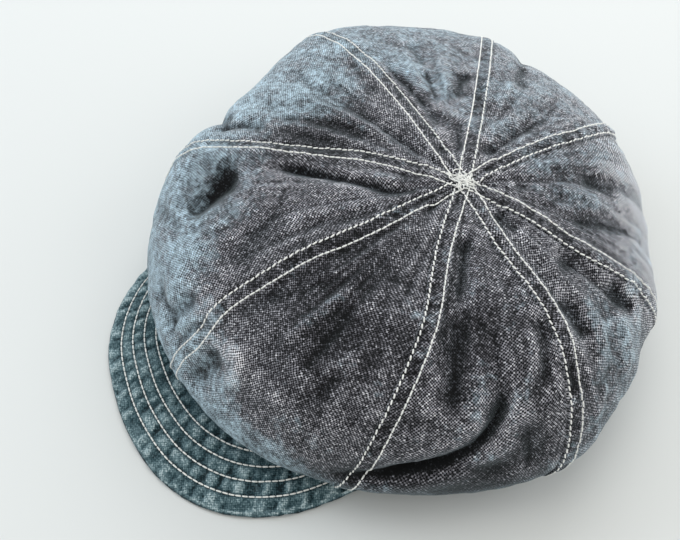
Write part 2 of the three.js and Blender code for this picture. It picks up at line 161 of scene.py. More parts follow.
# Folds: three places (section, level) on the fold's line, then how deep it is (a ridge where
# negative), how wide, how high the lip beside it stands, and how far that lip leans over the fold. The last
# two are nothing where they are left out.
FOLDS = [
    ((0.42, 2.25), (0.72, 2.58), (0.98, 2.95), 8.0, 10.0, 1.0),
    ((0.47, 2.05), (0.66, 1.30), (1.50, 0.40), 4.4, 3.8, 2.0, 0.6),
    ((15.48, 2.40), (15.28, 1.72), (14.94, 0.55), -3.0, 5.5),
    ((15.86, 3.00), (15.69, 2.62), (15.75, 2.15), 5.0, 6.0),
    ((14.95, 1.30), (14.86, 0.93), (14.90, 0.53), 1.5, 4.0),
    ((1.46, 2.35), (1.42, 2.10), (1.42, 1.70), 1.5, 5.0),
    ((1.75, 3.80), (1.75, 3.33), (1.83, 2.90), 4.2, 7.0, 1.5),
    ((1.79, 3.62), (1.88, 3.30), (1.97, 3.00), -2.5, 3.0),
    ((1.90, 3.75), (1.98, 3.33), (2.06, 2.95), 2.5, 3.0),
    ((2.12, 3.95), (2.28, 3.45), (2.33, 3.08), 4.6, 7.5, 2.0),
    ((2.50, 3.45), (2.56, 3.10), (2.30, 2.90), -2.0, 4.0),
    ((2.75, 2.75), (2.83, 2.15), (2.95, 1.70), -2.4, 3.6),
    ((3.25, 2.70), (3.34, 2.53), (3.46, 2.36), -1.5, 4.0),
    ((3.04, 2.80), (3.12, 2.30), (3.21, 1.85), 1.6, 6.0),
    ((2.17, 2.55), (2.46, 2.12), (2.62, 1.66), 1.2, 5.0),
    ((3.21, 3.27), (3.33, 2.85), (3.50, 2.55), 0.9, 6.0),
    ((5.14, 2.55), (4.86, 3.36), (3.50, 4.03), 6.8, 5.6, 3.5, 4.5),
    ((4.80, 0.70), (4.63, 1.20), (4.52, 1.80), 5.0, 3.6, 1.0),
    ((4.68, 3.05), (4.57, 2.33), (4.50, 1.45), 4.0, 8.0, 2.0),
    ((5.79, 1.95), (5.75, 2.40), (5.56, 2.90), 3.0, 6.0, 0.8),
    ((5.62, 2.05), (5.58, 2.38), (5.44, 2.80), -1.5, 4.0),
    ((5.33, 3.05), (5.42, 3.38), (5.42, 3.78), 2.0, 6.0),
    ((4.08, 3.98), (4.58, 3.66), (5.35, 3.62), 2.5, 5.0),
    ((6.75, 0.56), (6.84, 0.85), (6.97, 1.13), 3.0, 4.0),
    ((7.32, 1.62), (7.46, 2.33), (7.58, 3.20), 5.0, 7.0, 2.5),
    ((7.12, 1.75), (7.35, 2.40), (7.68, 3.40), -2.0, 5.0),
    ((7.79, 2.45), (7.68, 2.83), (7.67, 3.15), 4.0, 5.0, 1.0),
    ((6.92, 2.55), (6.70, 2.82), (6.36, 3.17), -1.8, 5.0),
    ((7.38, 2.70), (7.20, 3.12), (6.94, 3.58), -2.5, 6.0),
    ((6.42, 1.95), (6.52, 2.35), (6.46, 2.65), 3.0, 6.0, 1.0),
    ((6.00, 2.38), (6.02, 2.73), (5.95, 3.08), 2.0, 5.0),
    ((6.21, 3.45), (6.42, 3.35), (6.64, 3.23), -1.5, 4.0),
    ((7.65, 3.20), (7.60, 3.70), (7.50, 4.30), 1.5, 8.0),
    ((8.92, 0.76), (8.97, 1.00), (9.05, 1.27), 1.8, 4.0),
    ((9.30, 1.90), (9.17, 2.30), (9.07, 2.70), 2.2, 7.0),
    ((8.38, 1.66), (8.58, 2.20), (8.67, 3.05), 2.6, 6.0, 1.0),
    ((9.00, 1.45), (8.92, 1.95), (8.88, 2.62), -2.0, 5.0),
    ((11.00, 0.52), (10.71, 1.07), (10.58, 2.05), 4.5, 5.0, 1.5),
    ((11.42, 2.92), (11.34, 2.40), (11.32, 1.95), 3.5, 6.0),
    ((10.71, 2.68), (10.50, 1.83), (10.25, 1.30), 1.5, 5.0),
    ((10.08, 2.60), (10.04, 2.15), (10.12, 1.85), 1.2, 4.0),
    ((13.85, 2.05), (13.52, 1.33), (13.17, 0.72), 4.0, 5.0, 1.0),
    ((13.21, 1.88), (13.17, 1.50), (13.17, 1.10), 2.8, 4.0),
    ((12.79, 2.30), (12.74, 1.67), (12.67, 1.35), -3.0, 5.0),
    ((12.32, 1.92), (12.49, 1.60), (12.63, 1.28), 3.2, 4.5),
    ((12.75, 1.07), (12.71, 0.70), (12.54, 0.43), 2.0, 4.0),
    ((13.17, 2.50), (13.17, 2.15), (13.17, 1.83), 1.2, 4.0),
    ((13.88, 2.45), (13.79, 2.08), (13.62, 1.76), 1.2, 4.0),
    ((13.42, 2.05), (13.29, 1.48), (13.24, 0.92), -1.5, 4.0),
    ((14.62, 2.95), (14.80, 2.38), (14.75, 1.88), 1.5, 5.0),
    ((15.17, 2.85), (15.46, 2.25), (15.54, 1.95), 1.5, 5.0),
    ((14.20, 2.30), (14.26, 1.83), (14.38, 1.42), 1.2, 4.0),
    ((1.33, 3.15), (1.29, 2.70), (1.00, 2.30), -2.5, 8.0),
    ((0.46, 3.80), (0.83, 3.15), (1.21, 2.88), 2.0, 7.0),
    ((1.29, 3.75), (1.54, 3.50), (1.68, 3.62), 3.0, 6.0),
    ((0.18, 1.70), (0.20, 2.45), (0.24, 3.15), -3.0, 5.0),
    ((15.66, 2.70), (15.50, 3.40), (15.44, 4.40), 6.5, 9.0),
    ((11.40, 2.70), (11.46, 3.20), (11.50, 3.90), 4.0, 7.0),
]
FOLD_STEPS = 10
FOLD_REACH = 3.5  # widths from its line up to which a fold moves the cloth
FOLD_FADE = 0.3  # share of its length over which each end of a fold runs out
LIP_OFFSET = 1.5  # widths from the line to the crest of the lip
FOLD_SHARPNESS = 1.45  # 2 is a round hollow, 1 a creased one

# Crumpling of washed cotton: size of the crumples, their height, and whether they are creased. They
# wander aside by some millimetres, in waves of some size.
CRUMPLE_WANDER = 5
CRUMPLE_WAVE = 22
CRUMPLES = [
    (42.0, 0.7, True),
    (20.0, 0.36, True),
    (9.0, 0.25, True),
    (4.5, 0.18, False),
]

CREASE_MEAN = 0.6  # what a creased wave of height 1 is lowered by, to keep the cloth's mean height

# Pleats that radiate from the top: how closely they are set round it, their length, height, and the
# distance from the top at which they are strongest, with how far they reach either way
PLEATS = [
    (8.0, 45.0, 0.8, 18.0, 16.0),
    (5.0, 80.0, 1.3, 75.0, 55.0),
    (9.0, 60.0, 0.8, 90.0, 50.0),
    (22.0, 45.0, 0.42, 85.0, 55.0),
]

# Puckers that the rows of stitches draw up: their length down the seam, width across it and height.
# The large ones slant and run out into the panels, the fine ones stay between the rows.
PUCKER = {"long": 2.3, "wide": 7.0, "height": 0.6, "slant": 0.6, "reach": 3.5}
FINE_PUCKER = {"long": 1.1, "wide": 2.2, "height": 0.5}

# The peak, in degrees round the band's centre and in millimetres
PEAK = {
    "start": 192.0,
    "end": 348.0,
    "edge_turn": 12.0,
    "thick": 3.2,
    "lift": 6.0,
    "bow": 2.5,
    "rows": 6,
    "first_row": 8.0,
    "row_pitch": 6.7,
    "row_spread": 0.22,
    "rounding": 1.6,
    "ripple": (2.7, 16.0, 1.0),  # length along the edge, reach inwards and height
    "crimp": (1.5, 5.0, 0.45),
    "wave": (24.0, 0.35),  # size and height
    "groove": (0.55, 1.2),  # depth and width along a row of stitches
    "drawn": (0.25, 2.2),  # share of the ripples left on a row, and how far from it they are whole
}
# How far the peak's edge reaches from the band's centre at every edge_turn degrees, from end to end
PEAK_EDGE = np.array([96, 112, 126, 137.5, 145, 148.5, 152.5, 155.5, 153, 143, 128.5, 115, 103.5, 94])
SPREAD_FROM, SPREAD_TO = 235.0, 290.0
PEAK_CLEAR = 0.3
RIPPLE_SLANT = 0.06


# Geometry of the crown
def smoothstep(value, low, high):
    share = np.clip((value - low) / (high - low), 0, 1)
    return share * share * (3 - 2 * share)


def spline(a, b, c, d, f):
    """Smooth curve value between b and c, with a and d the values beyond them."""
    return b + 0.5 * f * (c - a + f * (2 * a - 5 * b + 4 * c - d + f * (3 * b - 3 * c + d - a)))


def around(column, place):
    """A column of SECTIONS at a place between two sections."""
    values = SECTIONS[:, COLUMNS.index(column)]
    start = np.floor(place).astype(int)
    turn = 360 if column in TURNING else 0

    def value(step):
        index = start + step
        return values[index % len(values)] + index // len(values) * turn

    return spline(value(-1), value(0), value(1), value(2), place - start)


def between_sections(table, place):
    """Rows of a table with one row a section, at places between the sections."""
    index = np.floor(place).astype(int)
    share = (place - index)[:, None]
    here, beyond = (table[(index + step) % len(table)] for step in (0, 1))
    return here + (beyond - here) * share * share * (3 - 2 * share)


def within(place, level, middle, height, wide, tall):
    """How strongly, from 0 to 1, a soft-edged patch of the crown holds at these places."""
    half = len(SECTIONS) / 2
    aside = (place - middle + half) % len(SECTIONS) - half
    return np.exp(-((aside / wide) ** 2) - ((level - height) / tall) ** 2)


def wash_and_painted_light(place, level):
    """How far the cloth has paled by fading and by painted sheen at the rim, how teal the painted shade
    under the rim makes it, and how much lighter or darker the painted light and shade of the patches make
    it than the rest.
    """
    strength, start, teal = between_sections(FADING_SHEEN_AND_SHADE, place).T
    fade_and_sheen = strength * smoothstep(level, start, start + FADE_AND_SHEEN_ROOM)
    shaded = smoothstep(level, teal, teal + TEAL_SHADE_ROOM)
    return fade_and_sheen, shaded, sum(change * within(place, level, *patch) for *patch, change in LIGHT_AND_SHADE_PATCHES)


def band_point(degrees, clear, z):
    angle = np.radians(degrees)
    x = (BAND["half_width"] + clear) * np.cos(angle)
    y = (BAND["half_length"] + clear) * np.sin(angle)
    return np.stack([x, y, z + np.zeros_like(x)], axis=-1)


def section_points(place):
    """The eight points, apex to hem, that a section's curve runs through, with one more beyond each end."""
    reach, high, rim_height = (around(name, place) for name in ("reach", "high", "rim"))
    near, mid, far = (around(name, place) for name in TURNING)

    def polar(share, degrees, z):
        angle = np.radians(degrees)
        x = APEX[0] + reach * share * np.cos(angle)
        y = APEX[1] + reach * share * np.sin(angle)
        return np.stack([x, y, z + np.zeros_like(x)], axis=-1)

    def between(share, z):
        point = rim + (hem - rim) * share
        point[:, 2] = z
        return point

    rim = polar(1, far, rim_height)
    turn = BAND_START + place * 360 / len(SECTIONS)
    hem = band_point(turn, LAP_CLEAR, BAND["height"] - LAP_DROP)
    points = [
        polar(0, far, APEX[2]),
        polar(STATIONS[0], near, APEX[2] + (high - APEX[2]) * CREST),
        polar(STATIONS[1], mid, high),
        polar(STATIONS[2], far + (mid - far) * SHOULDER_MIX, around("shoulder", place)),
        rim,
        between(UNDER_IN, rim_height - UNDER_FALL),
        between(SEAT_IN, BAND["height"] - LAP_SAG),
        hem,
    ]
    before = 2 * points[0] - points[1]
    after = 2 * points[-1] - points[-2]
    return np.stack([before, *points, after])


def smooth_point(place, level):
    """The crown's form before its folds, with its seams where they stray to."""
    place, level = np.broadcast_arrays(np.asarray(place, float), np.asarray(level, float))
    astray = place + sum(shift * within(place, level, *patch) for *patch, shift in WANDERS)
    return form_point(astray, level)


def form_point(place, level):
    """The crown's form by its sections alone."""
    points = section_points(place)
    start = np.clip(np.floor(level).astype(int), 0, LAST_LEVEL - 1)
    each = np.arange(len(place))
    a, b, c, d = (points[start + step, each] for step in range(4))
    return spline(a, b, c, d, (level - start)[:, None])


def normal_of(surface, place, level):
    step = 0.02
    along = surface(place, level + step) - surface(place, level - step)
    across = surface(place + step, level) - surface(place - step, level)
    normal = np.cross(along, across)
    return normal / np.linalg.norm(normal, axis=1, keepdims=True)


CELL_KEYS = np.array([73856093, 19349663, 83492791])
SEED_KEY = 7368787
HASHING = ((1274126177, 13), (668265263, 15))
LOW_BITS = 0xFFFFFFFF


def noise(points, size, seed):
    """Smooth noise from -1 to 1, with bumps about as wide as size."""
    grid = points / size
    cell = np.floor(grid).astype(np.int64)
    part = grid - cell
    ease = part * part * (3 - 2 * part)
    total = 0
    for corner in np.ndindex(2, 2, 2):
        key = (cell + corner) @ CELL_KEYS + seed * SEED_KEY
        for factor, shift in HASHING:
            key = ((key ^ (key >> shift)) * factor) & LOW_BITS
        value = ((key >> 8) & 0xFFFF) / 32767.5 - 1
        total = total + value * np.prod(np.where(corner, ease, 1 - ease), axis=1)
    return total


def fold_line(fold):
    f = np.linspace(0, 1, FOLD_STEPS + 1)[:, None]
    weights = ((1 - f) * (1 - 2 * f), 4 * f * (1 - f), f * (2 * f - 1))
    place, level = sum(np.array(point) * weight for point, weight in zip(fold[:3], weights)).T
    return form_point(place, level)


FOLD_LINES = [fold_line(fold) for fold in FOLDS]


def fold_shift(point, normal):
    """How the folds move points of the smooth form."""
    shift = np.zeros_like(point)
    for fold, line in zip(FOLDS, FOLD_LINES):
        depth, width, lip, lean = (*fold[3:], 0, 0)[:4]
        reach = FOLD_REACH * width
        near = np.all((point > line.min(0) - reach) & (point < line.max(0) + reach), axis=1)
        if not near.any():
            continue
        here, up = point[near], normal[near]
        nearest = np.full(len(here), np.inf)
        share = np.zeros(len(here))
        aside = np.zeros_like(here)
        direction = np.zeros_like(here)
        for step in range(FOLD_STEPS):
            run = line[step + 1] - line[step]
            away = here - line[step]
            f = np.clip(away @ run / (run @ run), 0, 1)
            away = away - f[:, None] * run
            distance = np.linalg.norm(away, axis=1)
            closer = distance < nearest
            nearest[closer] = distance[closer]
            share[closer] = (step + f[closer]) / FOLD_STEPS
            aside[closer] = away[closer]
            direction[closer] = run
        across = np.cross(up, direction)
        across /= np.linalg.norm(across, axis=1, keepdims=True) + 1e-9
        side = np.sign(np.sum(aside * across, axis=1))
        fade = smoothstep(np.minimum(share, 1 - share), 0, FOLD_FADE)
        valley = np.exp(-((nearest / width) ** FOLD_SHARPNESS))
        crest = np.exp(-((side * nearest / width - LIP_OFFSET) ** 2))
        height = fade * (lip * crest - depth * valley)
        shift[near] += height[:, None] * up - (fade * lean * crest)[:, None] * across
    return shift


def crumple(point):
    waves = [noise(point, CRUMPLE_WAVE, seed) for seed in (11, 12, 13)]
    wander = np.stack(waves, axis=1) * CRUMPLE_WANDER
    height = np.zeros(len(point))
    for index, (size, tall, creased) in enumerate(CRUMPLES):
        wave = noise(point + wander, size, 20 + index)
        height += tall * (2 * np.abs(wave) - CREASE_MEAN if creased else wave)
    return height


def radiating_pleats(point):
    """Pleats that run out from the tack: fine ones round it, and long soft ones down the panels."""
    x, y = point[:, 0] - APEX[0], point[:, 1] - APEX[1]
    distance = np.hypot(x, y)
    angle = np.arctan2(y, x)
    height = np.zeros(len(point))
    for seed, (spread, long, tall, middle, reach) in enumerate(PLEATS):
        ring = np.stack([np.cos(angle) * spread, np.sin(angle) * spread, distance / long], axis=1)
        pleat = CREASE_MEAN - 2 * np.abs(noise(ring, 1.0, 31 + seed))
        height += tall * pleat * np.exp(-(((distance - middle) / reach) ** 2))
    return height


ACROSS_STEP = 0.1  # sections to either side, for measuring across the cloth


def seam_scale(seam, level):
    """Sections per millimetre across a seam, fewer where the seams crowd together."""
    before, after = (smooth_point(seam + step, level) for step in (-ACROSS_STEP, ACROSS_STEP))
    per_millimetre = 2 * ACROSS_STEP / np.linalg.norm(after - before, axis=1)
    return per_millimetre * np.minimum(1, SEAM_CROWDING / per_millimetre / SEAM_HALF)


LEVEL_STEPS = np.linspace(0, LAST_LEVEL, 701)


def length_down(place):
    """Length along a section's curve at each of LEVEL_STEPS."""
    points = smooth_point(np.full(len(LEVEL_STEPS), float(place)), LEVEL_STEPS)
    steps = np.linalg.norm(np.diff(points, axis=0), axis=1)
    return np.concatenate([[0], np.cumsum(steps)])


LENGTHS = [length_down(place) for place in range(len(SECTIONS))]


def length_at(place, level):
    return np.interp(level, LEVEL_STEPS, LENGTHS[place % len(SECTIONS)])


def puckers(aside, length, seam):
    """Small puckers that the two rows of stitches draw up."""
    number = seam % len(SECTIONS)
    out = np.maximum(np.abs(aside) - ROWS[1], 0)

    def waves(kind, along, seed, apart):
        cells = [along / kind["long"], aside / kind["wide"], np.full_like(aside, number * apart)]
        return kind["height"] * noise(np.stack(cells, axis=1), 1, seed)

    large = waves(PUCKER, length + PUCKER["slant"] * out, 41, 3.1) * np.exp(-out / PUCKER["reach"])
    return large + np.where(out > 0, 0, waves(FINE_PUCKER, length, 43, 7.7))


def row_grooves(aside):
    depth, width = ROW_GROOVE
    return sum(-depth * np.exp(-(((aside - row) / width) ** 2)) for row in ROWS)


def panel_shape(seam, place, level):
    """Points of a panel's cloth, how far each stands from the smooth form, and the smooth normals."""
    point = smooth_point(place, level)
    normal = normal_of(smooth_point, place, level)
    shift = fold_shift(point, normal)
    own = (place - seam) / seam_scale(seam, level)
    following = (place - seam - 2) / seam_scale(seam + 2, level)
    rise = smoothstep(level, *SEAM_TOP)
    height = crumple(point) + radiating_pleats(point)
    beside = own < OWN_SIDE
    height += SEAM_RAISE * rise * (1 - smoothstep(own, ROWS[1] + SEAM_EDGE[0], ROWS[1] + SEAM_EDGE[1]))
    height += rise * (row_grooves(own) * beside + puckers(own, length_at(seam, level), seam))
    height += rise * (puckers(following, length_at(seam + 2, level), seam + 2))
    dip, dip_from, dip_to = TUCK
    height -= dip * smoothstep(following, dip_from, dip_to)
    return point + shift + height[:, None] * normal, np.sum(shift * normal, axis=1) + height, normal


def to_frame(points):
    return points * MM + CENTRE


# Meshes
def blurred(field, reach):
    for axis in (0, 1):
        padding = [(reach + 1, reach) if side == axis else (0, 0) for side in (0, 1)]
        total = np.cumsum(np.pad(field, padding, mode="edge"), axis=axis)
        count = field.shape[axis]
        upper = np.take(total, np.arange(count) + 2 * reach + 1, axis=axis)
        lower = np.take(total, np.arange(count), axis=axis)
        field = (upper - lower) / (2 * reach + 1)
    return field


CLOSE_RELIEF = (5, -0.65, 0.5)  # grid cells to either side, and the least and most that counts
BROAD_RELIEF = (16, -3.0, 1.2)


def relief(stand, shape):
    """How far each point stands above the cloth round it, close by and further off."""
    field = stand.reshape(shape)
    reliefs = (CLOSE_RELIEF, BROAD_RELIEF)
    return [np.clip(field - blurred(field, cells), least, most).ravel() for cells, least, most in reliefs]


def points_of(mesh):
    flat = np.empty(len(mesh.vertices) * 3)
    mesh.vertices.foreach_get("co", flat)
    return flat.reshape(-1, 3)


def mesh_of(net, name):
    mesh = bpy.data.meshes.new(name)
    net.to_mesh(mesh)
    net.free()
    return mesh


# What a cloth's material reads from its points: how far each stands above the cloth close by and further
# off, which pales ridges and darkens hollows with painted shade, how far it has paled by fading and painted
# sheen, how teal painted shade makes it, how much lighter or darker painted light and shade make it, and
# whether it lies between a seam's two rows
CLOTH_VALUES = ("close", "broad", "fade_and_sheen", "shaded", "light_and_shade_tone", "seam")


def mark(mesh, grain, values):
    """Give a mesh its grain in millimetres as a UV map, and its cloth's values, 0 where none is named."""
    corner = np.empty(len(mesh.loops), int)
    mesh.loops.foreach_get("vertex_index", corner)
    mesh.uv_layers.new(name="grain").data.foreach_set("uv", grain[corner].ravel())
    none = np.zeros(len(mesh.vertices))
    for key in CLOTH_VALUES:
        mesh.attributes.new(key, "FLOAT", "POINT").data.foreach_set("value", values.get(key, none))


def cloth_sheet(name, columns, rows, shape, wall):
    """A grid bent to a shape, thickened inwards. shape takes two arrays of shares, across and down."""
    net = bmesh.new()
    bmesh.ops.create_grid(net, x_segments=columns, y_segments=rows, size=0.5)
    mesh = mesh_of(net, name)
    share = points_of(mesh)[:, :2] + 0.5
    order = np.lexsort((np.round(share[:, 0], 5), np.round(share[:, 1], 5)))
    points, outward, grain, values = shape(share[order, 0], share[order, 1])
    back = np.argsort(order)
    mesh.vertices.foreach_set("co", to_frame(points)[back].ravel())
    mark(mesh, grain[back], {key: value[back] for key, value in values.items()})
    mesh.update()
    net = bmesh.new()
    net.from_mesh(mesh)
    net.verts.ensure_lookup_table()
    middle = len(points) // 2
    vertex = net.verts[order[middle]]
    vertex.normal_update()
    if vertex.normal.dot(Vector(outward[middle])) < 0:
        bmesh.ops.reverse_faces(net, faces=net.faces[:])
    net.to_mesh(mesh)
    net.free()
    return finished(name, mesh, wall)


SHARP_FROM = 55  # degrees


def finished(name, mesh, wall=0.0):
    """A smooth-shaded piece of the mesh. A sheet is given its wall inwards, none of it below the table."""
    piece = bpy.data.objects.new(name, mesh)
    bpy.context.scene.collection.objects.link(piece)
    if wall:
        thickness = piece.modifiers.new("wall", "SOLIDIFY")
        thickness.thickness = wall * MM
        thickness.offset = -1
        graph = bpy.context.evaluated_depsgraph_get()
        walled = piece.evaluated_get(graph)
        mesh = bpy.data.meshes.new_from_object(walled, preserve_all_data_layers=True, depsgraph=graph)
        piece.modifiers.clear()
        piece.data = mesh
        points = points_of(mesh)
        points[:, 2] = np.maximum(points[:, 2], 0)
        mesh.vertices.foreach_set("co", points.ravel())
    mesh.polygons.foreach_set("use_smooth", [True] * len(mesh.polygons))
    mesh.set_sharp_from_angle(angle=math.radians(SHARP_FROM))
    return piece


def dress(piece, material, slot, *replaced):
    piece.data.materials.append(material)
    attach(piece, "root")
    if replaced:
        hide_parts(*replaced)


PANEL_COLUMNS = 104
PANEL_ROWS = 158
RIM_LEVEL = 4
OWN_ZONE = (STEP_EDGE, 7.0, 16)  # from, to and columns, in millimetres from the panel's own seam
NEXT_ZONE = (-8.5, TUCKED_EDGE, 7)
RIM_SHARE = 0.8  # share of the rows above the rim
FIRST_LEVEL = 0.03
BETWEEN_ROWS = (0.4, 1.2)  # inside each row of stitches the seam's darker strip sets in between these


def crown_panel(seam):
    def shape(across, down):
        level = np.where(
            down < RIM_SHARE,
            FIRST_LEVEL + (RIM_LEVEL - FIRST_LEVEL) * down / RIM_SHARE,
            RIM_LEVEL + (LAST_LEVEL - RIM_LEVEL) * (down - RIM_SHARE) / (1 - RIM_SHARE),
        )
        column = across * PANEL_COLUMNS
        own_scale = seam_scale(seam, level)
        next_scale = seam_scale(seam + 2, level)
        low, high, count = OWN_ZONE
        own = seam + own_scale * (low + (high - low) * np.minimum(column / count, 1))
        start, end, last = NEXT_ZONE
        beyond = np.clip((column - PANEL_COLUMNS + last) / last, 0, 1)
        following = seam + 2 + next_scale * (start + (end - start) * beyond)
        between = np.clip((column - count) / (PANEL_COLUMNS - count - last), 0, 1)
        place = np.where(beyond > 0, following, own + (following - own) * between)
        place = np.where(column < count, own, place)
        points, stand, normal = panel_shape(seam, place, level)
        grid = (PANEL_ROWS + 1, PANEL_COLUMNS + 1)
        close, broad = relief(stand, grid)
        before, after = (smooth_point(seam + 1 + step, level) for step in (-ACROSS_STEP, ACROSS_STEP))
        width = np.linalg.norm(after - before, axis=1) / (2 * ACROSS_STEP)
        grain = np.stack([(place - seam - 1) * width, length_at(seam + 1, level)], axis=1)
        aside = (place - seam) / own_scale
        near, well = BETWEEN_ROWS
        in_seam = smoothstep(aside, ROWS[0] + near, ROWS[0] + well)
        in_seam *= 1 - smoothstep(aside, ROWS[1] - well, ROWS[1] - near)
        in_seam *= smoothstep(level, *SEAM_TOP)
        # the section gives the paling by fading and painted sheen, teal painted shade under the rim, and
        # the painted light and shade of the patches
        values = (close, broad, *wash_and_painted_light(place, level), in_seam)
        return points, normal, grain, dict(zip(CLOTH_VALUES, values))

    return cloth_sheet(f"crown_cloth_{seam // 2 + 1}", PANEL_COLUMNS, PANEL_ROWS, shape, WALL)


STITCH_SIDES = 6
STITCH_RINGS = 6
BLUNTNESS = 3.5  # how blunt a stitch's ends are; 2 is an ellipse


def add_stitch(net, start, end, up, width, sink):
    """One stitch: a thread that rises from its hole at start and goes back down at end."""
    start, end, up = Vector(start), Vector(end), Vector(up).normalized()
    along = end - start
    length = along.length
    along.normalize()
    side = up.cross(along).normalized()
    up = along.cross(side)
    turn = Matrix((side, up, along)).transposed().to_4x4()
    size = Matrix.Diagonal((width / 2, width / 2, length / 2, 1))
    place = Matrix.Translation((start + end) / 2 + up * (width / 2 - sink))
    made = bmesh.ops.create_uvsphere(net, u_segments=STITCH_SIDES, v_segments=STITCH_RINGS, radius=1)
    for vertex in made["verts"]:
        x, y, z = vertex.co
        round_end = math.hypot(x, y)
        if round_end > 0.01:
            blunt = (1 - abs(z) ** BLUNTNESS) ** (1 / BLUNTNESS) / round_end
            vertex.co = Vector((x * blunt, y * blunt, z))
    bmesh.ops.transform(net, matrix=place @ turn @ size, verts=made["verts"])


STITCH_PITCH = 3.2
SEAM_STITCHES = {ROWS[0]: 2.65, ROWS[1]: 3.05}  # length of a stitch in each row
STITCH_SLANT = {ROWS[0]: 0.28, ROWS[1]: 0.08}  # how far its ends lie to either side of the row
THREAD = 0.88
THREAD_SUNK = {"seam": 0.12, "peak": 0.15}  # how deep a stitch lies in the cloth
FIRST_STITCH = 1.5
LATER_ROW = 0.9  # how much further down the outer row begins
LAST_STITCH_LEVEL = 6.6
STRAIGHT_ROWS = 24.0  # within this distance of the top the rows run straight on, over the crowded seams
OVER_SEAMS = 0.3  # how far they lie above the cloth there
TOP_LEVELS = np.linspace(0, 1.6, 81)


def on_top(east, north):
    """Place and level of points given by their distance from the apex in plan."""
    angle = np.degrees(np.arctan2(north, east)) % 360
    near = np.concatenate([SECTIONS[:, 0] - 360, SECTIONS[:, 0], SECTIONS[:, 0] + 360])
    place = np.interp(angle, near, np.arange(-len(SECTIONS), 2 * len(SECTIONS)))
    away = np.hypot(east, north)
    level = np.zeros_like(away)
    for one in range(len(away)):
        points = smooth_point(place[one], TOP_LEVELS)
        reach = np.hypot(points[:, 0] - APEX[0], points[:, 1] - APEX[1])
        level[one] = np.interp(away[one], reach, TOP_LEVELS)
    return place, np.maximum(level, 0.02)


def cloth_point(place, level):
    """Points of whichever panel lies uppermost."""
    result = np.empty((len(place), 3))
    turned = place % len(SECTIONS)
    done = np.zeros(len(place), bool)
    for seam in range(len(SECTIONS), -1, -2):
        covered = ~done & (turned >= seam + STEP_EDGE * seam_scale(seam, level))
        if covered.any():
            result[covered] = panel_shape(seam, turned[covered], level[covered])[0]
        done |= covered
    if not done.all():
        result[~done] = panel_shape(-2, turned[~done], level[~done])[0]
    return result


def row_points(seam, along, aside):
    """Points of a row of stitches, by their length down the seam and their distance from its line."""
    lengths = LENGTHS[seam]
    level = np.interp(along, lengths, LEVEL_STEPS)
    points = cloth_point(seam + aside * seam_scale(seam, level), level)
    straight = along < STRAIGHT_ROWS
    if straight.any():
        line = smooth_point(seam, level[straight])[:, :2] - APEX[:2]
        far = smooth_point(seam, np.interp([STRAIGHT_ROWS], lengths, LEVEL_STEPS))[0, :2] - APEX[:2]
        way = far / np.hypot(*far)
        beside = line + np.outer(aside[straight], [-way[1], way[0]])
        points[straight] = cloth_point(*on_top(beside[:, 0], beside[:, 1]))
        points[straight, 2] += OVER_SEAMS
    return points


def seam_stitches(seam):
    net = bmesh.new()
    lengths = LENGTHS[seam]
    last = np.interp(LAST_STITCH_LEVEL, LEVEL_STEPS, lengths)
    for row, long in SEAM_STITCHES.items():
        starts = np.arange(FIRST_STITCH + (LATER_ROW if row > 0 else 0), last, STITCH_PITCH)
        slant = STITCH_SLANT[row]
        tops = []
        for offset, shove in ((0, -slant), (long, slant), (long / 2, 0), (long / 2, 0.5)):
            tops.append(row_points(seam, starts + offset, np.full(len(starts), row + shove)))
        start, end, middle, beside = tops
        up = np.cross(end - start, beside - middle)
        outward = normal_of(smooth_point, seam, np.interp(starts, lengths, LEVEL_STEPS))
        up *= np.sign(np.sum(up * outward, axis=1))[:, None]
        for one in range(len(starts)):
            lift = (middle[one] - (start[one] + end[one]) / 2) * 0.5
            ends = (to_frame(point + lift) for point in (start[one], end[one]))
            add_stitch(net, *ends, up[one], THREAD * MM, THREAD_SUNK["seam"] * MM)
    name = f"seam_stitches_{seam // 2 + 1}"
    return finished(name, mesh_of(net, name))


TACK_STRANDS = 30
TACK_REACH = 3.6
TACK_END = 8.0  # distance at which the pile of strands has run out
TACK_HEIGHT = (0.5, 1.3)  # height of the lowest strand, and how much higher the last one lies
TACK_LIFT = 0.7
TACK_FALL = 0.04
STRAND_LONG = (3.5, 8.0)
STRAND_BEND = 1.6
STRAND_RADIUS = 0.36
STRAND_DIP = 0.5  # share of its height by which a strand's ends lie lower


def thread_tack():
    """The open tangle of crossing threads that closes the top."""
    rng = np.random.default_rng(7)
    net = bmesh.new()
    for strand in range(TACK_STRANDS):
        angle = rng.uniform(0, math.tau)
        middle = rng.normal(0, TACK_REACH, 2)
        length = rng.uniform(*STRAND_LONG)
        bend = rng.uniform(-STRAND_BEND, STRAND_BEND)
        height = TACK_HEIGHT[0] + TACK_HEIGHT[1] * strand / TACK_STRANDS
        for vertex in bmesh.ops.create_uvsphere(net, u_segments=6, v_segments=11, radius=1)["verts"]:
            x, y, z = vertex.co
            along = z * length / 2
            across = x * STRAND_RADIUS + bend * (1 - z * z)
            east = middle[0] + along * math.cos(angle) - across * math.sin(angle)
            north = middle[1] + along * math.sin(angle) + across * math.cos(angle)
            away = math.hypot(east, north)
            up = height * max(0.0, 1 - (away / TACK_END) ** 2) * (1 - STRAND_DIP * z * z)
            up += TACK_LIFT - TACK_FALL * away + y * STRAND_RADIUS
            vertex.co = Vector(to_frame(np.array(APEX) + (east, north, up)))
    return finished("top_tack_threads", mesh_of(net, "top_tack_threads"))


